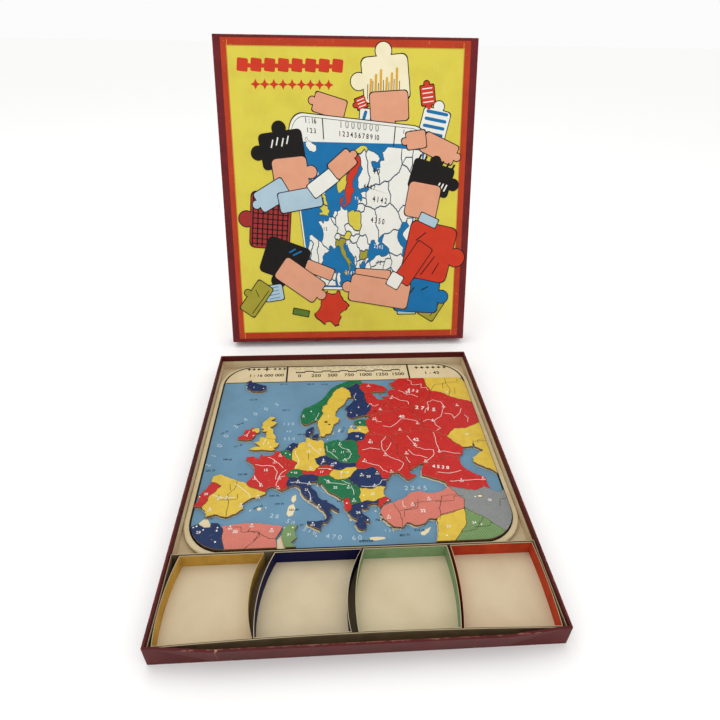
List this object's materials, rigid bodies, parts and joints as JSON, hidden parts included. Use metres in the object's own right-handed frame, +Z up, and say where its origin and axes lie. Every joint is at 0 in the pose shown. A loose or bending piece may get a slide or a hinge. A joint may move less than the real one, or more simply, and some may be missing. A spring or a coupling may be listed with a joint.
{
  "type": "boxed jigsaw puzzle",
  "caption": "Boxed map jigsaw: sawn country pieces on a board in a paper-wrapped tray, with an insert of small sorting boxes and a labelled lid stood up behind.",
  "frame": {"origin": "centre of the tray's underside", "axes": "+Z up, +Y from the sorting boxes across the map towards the standing lid, +X to the right as the map is read"},
  "size_m": [0.3483, 0.6069, 0.3879],
  "materials": {
    "wrap_paper": "matt",
    "greyboard": "matt",
    "lining_paper": "matt",
    "label_paper": "printed, matt",
    "insert_card": "matt",
    "ochre_card": "matt",
    "navy_card": "matt",
    "green_card": "matt",
    "red_card": "matt",
    "map_board_card": "matt",
    "map_paper": "printed, matt",
    "red_piece": "painted face, bare edges",
    "yellow_piece": "painted face, bare edges",
    "green_piece": "painted face, bare edges",
    "navy_piece": "painted face, bare edges",
    "pink_piece": "printed face, bare edges",
    "grey_blue_piece": "printed face, bare edges"
  },
  "bodies": {
    "tray": {"tray_board": "greyboard", "tray_wrap": "wrap_paper", "tray_base_paper": "wrap_paper", "tray_lining": "lining_paper", "tray_corner_stays": "lining_paper"},
    "lid": {"lid_board": "greyboard", "lid_wrap": "wrap_paper", "lid_lining": "lining_paper", "lid_corner_stays": "lining_paper", "lid_label": "label_paper"},
    "insert": {"insert_tray": "insert_card"},
    "ochre_box": {"box_ochre": "ochre_card"},
    "navy_box": {"box_navy": "navy_card"},
    "green_box": {"box_green": "green_card"},
    "red_box": {"box_red": "red_card"},
    "map": {"map_board": "map_board_card", "map_print": "map_paper"},
    "iceland": {"iceland": "navy_piece"},
    "ireland": {"ireland": "red_piece"},
    "northern_ireland": {"northern_ireland": "yellow_piece"},
    "great_britain": {"great_britain": "yellow_piece"},
    "norway": {"norway": "green_piece"},
    "sweden": {"sweden": "yellow_piece"},
    "finland": {"finland": "navy_piece"},
    "denmark": {"denmark": "navy_piece"},
    "estonia": {"estonia": "green_piece"},
    "latvia": {"latvia": "yellow_piece"},
    "lithuania": {"lithuania": "navy_piece"},
    "poland": {"poland": "green_piece"},
    "germany": {"germany": "yellow_piece"},
    "netherlands": {"netherlands": "navy_piece"},
    "belgium": {"belgium": "green_piece"},
    "france": {"france": "red_piece"},
    "switzerland": {"switzerland": "green_piece"},
    "austria": {"austria": "red_piece"},
    "czechoslovakia": {"czechoslovakia": "navy_piece"},
    "hungary": {"hungary": "yellow_piece"},
    "romania": {"romania": "navy_piece"},
    "italy": {"italy": "navy_piece"},
    "yugoslavia": {"yugoslavia": "green_piece"},
    "albania": {"albania": "red_piece"},
    "greece": {"greece": "navy_piece"},
    "bulgaria": {"bulgaria": "yellow_piece"},
    "turkey_in_europe": {"turkey_in_europe": "red_piece"},
    "spain": {"spain": "yellow_piece"},
    "portugal": {"portugal": "red_piece"},
    "morocco": {"morocco": "navy_piece"},
    "algeria": {"algeria": "pink_piece"},
    "tunisia": {"tunisia": "green_piece"},
    "asia_minor": {"asia_minor": "pink_piece"},
    "syria": {"syria": "yellow_piece"},
    "iraq": {"iraq": "green_piece"},
    "iran": {"iran": "grey_blue_piece"},
    "siberia": {"siberia": "yellow_piece"},
    "kazakhstan": {"kazakhstan": "yellow_piece"},
    "transcaspia": {"transcaspia": "yellow_piece"},
    "russia_north": {"russia_north": "red_piece"},
    "russia_centre": {"russia_centre": "red_piece"},
    "russia_west": {"russia_west": "red_piece"},
    "russia_south": {"russia_south": "red_piece"}
  },
  "joints": [
    {"name": "lid_lift", "type": "slide", "parent": "tray", "child": "lid", "axis": [0, 0, 1], "range_m": [0, 0.42]},
    {"name": "map_board_lift", "type": "slide", "parent": "tray", "child": "map", "axis": [0, 0, 1], "range_m": [0, 0.06]},
    {"name": "insert_lift", "type": "slide", "parent": "tray", "child": "insert", "axis": [0, 0, 1], "range_m": [0, 0.06]},
    {"name": "ochre_box_lift", "type": "slide", "parent": "insert", "child": "ochre_box", "axis": [0, 0, 1], "range_m": [0, 0.04]},
    {"name": "navy_box_lift", "type": "slide", "parent": "insert", "child": "navy_box", "axis": [0, 0, 1], "range_m": [0, 0.04]},
    {"name": "green_box_lift", "type": "slide", "parent": "insert", "child": "green_box", "axis": [0, 0, 1], "range_m": [0, 0.04]},
    {"name": "red_box_lift", "type": "slide", "parent": "insert", "child": "red_box", "axis": [0, 0, 1], "range_m": [0, 0.04]},
    {"name": "iceland_lift", "type": "slide", "parent": "map", "child": "iceland", "axis": [0, 0, 1], "range_m": [0, 0.025]},
    {"name": "ireland_lift", "type": "slide", "parent": "map", "child": "ireland", "axis": [0, 0, 1], "range_m": [0, 0.025]},
    {"name": "northern_ireland_lift", "type": "slide", "parent": "map", "child": "northern_ireland", "axis": [0, 0, 1], "range_m": [0, 0.025]},
    {"name": "great_britain_lift", "type": "slide", "parent": "map", "child": "great_britain", "axis": [0, 0, 1], "range_m": [0, 0.025]},
    {"name": "norway_lift", "type": "slide", "parent": "map", "child": "norway", "axis": [0, 0, 1], "range_m": [0, 0.025]},
    {"name": "sweden_lift", "type": "slide", "parent": "map", "child": "sweden", "axis": [0, 0, 1], "range_m": [0, 0.025]},
    {"name": "finland_lift", "type": "slide", "parent": "map", "child": "finland", "axis": [0, 0, 1], "range_m": [0, 0.025]},
    {"name": "denmark_lift", "type": "slide", "parent": "map", "child": "denmark", "axis": [0, 0, 1], "range_m": [0, 0.025]},
    {"name": "estonia_lift", "type": "slide", "parent": "map", "child": "estonia", "axis": [0, 0, 1], "range_m": [0, 0.025]},
    {"name": "latvia_lift", "type": "slide", "parent": "map", "child": "latvia", "axis": [0, 0, 1], "range_m": [0, 0.025]},
    {"name": "lithuania_lift", "type": "slide", "parent": "map", "child": "lithuania", "axis": [0, 0, 1], "range_m": [0, 0.025]},
    {"name": "poland_lift", "type": "slide", "parent": "map", "child": "poland", "axis": [0, 0, 1], "range_m": [0, 0.025]},
    {"name": "germany_lift", "type": "slide", "parent": "map", "child": "germany", "axis": [0, 0, 1], "range_m": [0, 0.025]},
    {"name": "netherlands_lift", "type": "slide", "parent": "map", "child": "netherlands", "axis": [0, 0, 1], "range_m": [0, 0.025]},
    {"name": "belgium_lift", "type": "slide", "parent": "map", "child": "belgium", "axis": [0, 0, 1], "range_m": [0, 0.025]},
    {"name": "france_lift", "type": "slide", "parent": "map", "child": "france", "axis": [0, 0, 1], "range_m": [0, 0.025]},
    {"name": "switzerland_lift", "type": "slide", "parent": "map", "child": "switzerland", "axis": [0, 0, 1], "range_m": [0, 0.025]},
    {"name": "austria_lift", "type": "slide", "parent": "map", "child": "austria", "axis": [0, 0, 1], "range_m": [0, 0.025]},
    {"name": "czechoslovakia_lift", "type": "slide", "parent": "map", "child": "czechoslovakia", "axis": [0, 0, 1], "range_m": [0, 0.025]},
    {"name": "hungary_lift", "type": "slide", "parent": "map", "child": "hungary", "axis": [0, 0, 1], "range_m": [0, 0.025]},
    {"name": "romania_lift", "type": "slide", "parent": "map", "child": "romania", "axis": [0, 0, 1], "range_m": [0, 0.025]},
    {"name": "italy_lift", "type": "slide", "parent": "map", "child": "italy", "axis": [0, 0, 1], "range_m": [0, 0.025]},
    {"name": "yugoslavia_lift", "type": "slide", "parent": "map", "child": "yugoslavia", "axis": [0, 0, 1], "range_m": [0, 0.025]},
    {"name": "albania_lift", "type": "slide", "parent": "map", "child": "albania", "axis": [0, 0, 1], "range_m": [0, 0.025]},
    {"name": "greece_lift", "type": "slide", "parent": "map", "child": "greece", "axis": [0, 0, 1], "range_m": [0, 0.025]},
    {"name": "bulgaria_lift", "type": "slide", "parent": "map", "child": "bulgaria", "axis": [0, 0, 1], "range_m": [0, 0.025]},
    {"name": "turkey_in_europe_lift", "type": "slide", "parent": "map", "child": "turkey_in_europe", "axis": [0, 0, 1], "range_m": [0, 0.025]},
    {"name": "spain_lift", "type": "slide", "parent": "map", "child": "spain", "axis": [0, 0, 1], "range_m": [0, 0.025]},
    {"name": "portugal_lift", "type": "slide", "parent": "map", "child": "portugal", "axis": [0, 0, 1], "range_m": [0, 0.025]},
    {"name": "morocco_lift", "type": "slide", "parent": "map", "child": "morocco", "axis": [0, 0, 1], "range_m": [0, 0.025]},
    {"name": "algeria_lift", "type": "slide", "parent": "map", "child": "algeria", "axis": [0, 0, 1], "range_m": [0, 0.025]},
    {"name": "tunisia_lift", "type": "slide", "parent": "map", "child": "tunisia", "axis": [0, 0, 1], "range_m": [0, 0.025]},
    {"name": "asia_minor_lift", "type": "slide", "parent": "map", "child": "asia_minor", "axis": [0, 0, 1], "range_m": [0, 0.025]},
    {"name": "syria_lift", "type": "slide", "parent": "map", "child": "syria", "axis": [0, 0, 1], "range_m": [0, 0.025]},
    {"name": "iraq_lift", "type": "slide", "parent": "map", "child": "iraq", "axis": [0, 0, 1], "range_m": [0, 0.025]},
    {"name": "iran_lift", "type": "slide", "parent": "map", "child": "iran", "axis": [0, 0, 1], "range_m": [0, 0.025]},
    {"name": "siberia_lift", "type": "slide", "parent": "map", "child": "siberia", "axis": [0, 0, 1], "range_m": [0, 0.025]},
    {"name": "kazakhstan_lift", "type": "slide", "parent": "map", "child": "kazakhstan", "axis": [0, 0, 1], "range_m": [0, 0.025]},
    {"name": "transcaspia_lift", "type": "slide", "parent": "map", "child": "transcaspia", "axis": [0, 0, 1], "range_m": [0, 0.025]},
    {"name": "russia_north_lift", "type": "slide", "parent": "map", "child": "russia_north", "axis": [0, 0, 1], "range_m": [0, 0.025]},
    {"name": "russia_centre_lift", "type": "slide", "parent": "map", "child": "russia_centre", "axis": [0, 0, 1], "range_m": [0, 0.025]},
    {"name": "russia_west_lift", "type": "slide", "parent": "map", "child": "russia_west", "axis": [0, 0, 1], "range_m": [0, 0.025]},
    {"name": "russia_south_lift", "type": "slide", "parent": "map", "child": "russia_south", "axis": [0, 0, 1], "range_m": [0, 0.025]}
  ]
}
